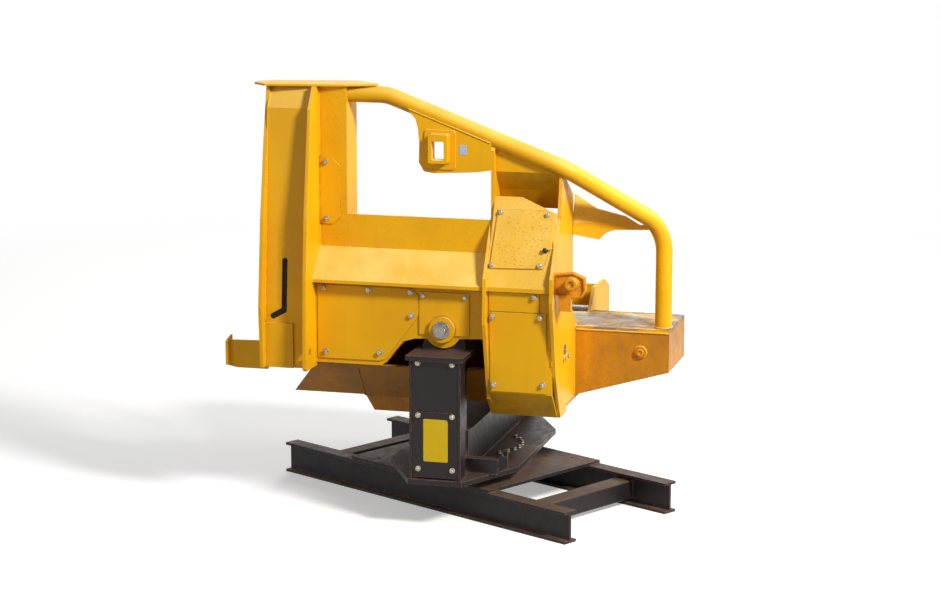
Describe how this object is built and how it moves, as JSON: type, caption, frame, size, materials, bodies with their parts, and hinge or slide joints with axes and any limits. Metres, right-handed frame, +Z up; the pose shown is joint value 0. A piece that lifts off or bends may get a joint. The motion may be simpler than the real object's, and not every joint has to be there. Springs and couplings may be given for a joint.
{
  "type": "pull-through delimber",
  "caption": "Pull-through delimbing head with folding knives and a topping saw, rocking in a swing cradle on a short carrier frame.",
  "frame": {"origin": "swing axis at the underside of the carrier rails, the centre of the carrier's bolt circle", "axes": "+X is the way a stem is pulled, -Y the housed near side with the tower, +Z up"},
  "size_m": [2.6319, 2.0382, 2.5923],
  "materials": {
    "yellow_paint": "semi-gloss machine enamel, chipped at edges",
    "yoke_paint": "semi-gloss black enamel, worn to brown at edges",
    "carrier_paint": "satin black enamel, dusty",
    "bare_steel": "turned and greased steel",
    "knife_steel": "forged steel polished by bark",
    "chain_steel": "oiled chain steel",
    "cast_drive": "painted casting"
  },
  "bodies": {
    "base": {"carrier_rail_near": "carrier_paint", "carrier_rail_far": "carrier_paint", "cross_tubes": "carrier_paint", "deck": "carrier_paint", "swing_ring_lower": "bare_steel"},
    "yoke": {"swing_ring_upper": "bare_steel", "yoke_plate": "yoke_paint", "yoke_beam": "yoke_paint", "yoke_stop": "yoke_paint", "near_post": "yoke_paint", "near_cap": "yoke_paint", "near_ear": "yoke_paint", "near_post_covers": "yoke_paint", "far_post": "yoke_paint", "far_cap": "yoke_paint", "far_ear": "yoke_paint", "far_post_covers": "yoke_paint"},
    "head": {"belly_guard": "yellow_paint", "belly_plate": "yellow_paint", "box_cover_high": "yellow_paint", "box_cover_low": "yellow_paint", "end_box": "yellow_paint", "far_guide": "yellow_paint", "far_hood": "yellow_paint", "far_panel": "yellow_paint", "far_web": "yellow_paint", "guard_brace": "yellow_paint", "guard_tube": "yellow_paint", "house_skin": "yellow_paint", "house_top": "yellow_paint", "jamb_plate": "yellow_paint", "knife_pins": "bare_steel", "lift_gusset": "yellow_paint", "limb_wing": "yellow_paint", "near_guide": "yellow_paint", "near_web": "yellow_paint", "pin_cover": "yellow_paint", "rib_left": "yellow_paint", "rib_right": "yellow_paint", "rock_pins": "bare_steel", "saw_drive": "cast_drive", "saw_face": "yellow_paint", "saw_inner_plate": "yellow_paint", "saw_outer_plate": "yellow_paint", "side_cover": "yellow_paint", "side_panel": "yellow_paint", "slope_cover": "yellow_paint", "tie_lug": "yellow_paint", "tower_cover": "yellow_paint", "tower_top": "yellow_paint", "trough_floor": "yellow_paint"},
    "saw": {"saw_bar": "bare_steel", "saw_chain": "chain_steel"},
    "knife_b_near": {"knife_b_near": "knife_steel"},
    "knife_b_far": {"knife_b_far": "knife_steel"},
    "knife_a_near": {"knife_a_near": "knife_steel"},
    "knife_a_far": {"knife_a_far": "knife_steel"}
  },
  "joints": [
    {"name": "swing", "type": "hinge", "parent": "base", "child": "yoke", "pos_m": [0, 0, 0.2425], "axis": [0, 0, 1], "range_deg": [-89, 31]},
    {"name": "rock", "type": "hinge", "parent": "yoke", "child": "head", "pos_m": [0, 0, 1.175], "axis": [0, 1, 0], "range_deg": [-10, 10]},
    {"name": "knife_b_near_open", "type": "hinge", "parent": "head", "child": "knife_b_near", "pos_m": [0, -0.5, 1.035], "axis": [1, 0, 0], "range_deg": [-2, 48]},
    {"name": "knife_b_far_open", "type": "hinge", "parent": "head", "child": "knife_b_far", "pos_m": [0, 0.5, 1.035], "axis": [-1, 0, 0], "range_deg": [-2, 48]},
    {"name": "knife_a_near_open", "type": "hinge", "parent": "head", "child": "knife_a_near", "pos_m": [0, -0.5, 1.035], "axis": [1, 0, 0], "range_deg": [-2, 48]},
    {"name": "knife_a_far_open", "type": "hinge", "parent": "head", "child": "knife_a_far", "pos_m": [0, 0.5, 1.035], "axis": [-1, 0, 0], "range_deg": [-2, 48]},
    {"name": "saw_sweep", "type": "hinge", "parent": "head", "child": "saw", "pos_m": [-0.94, -0.64, 1.05], "axis": [-1, 0, 0], "range_deg": [0, 95]}
  ]
}
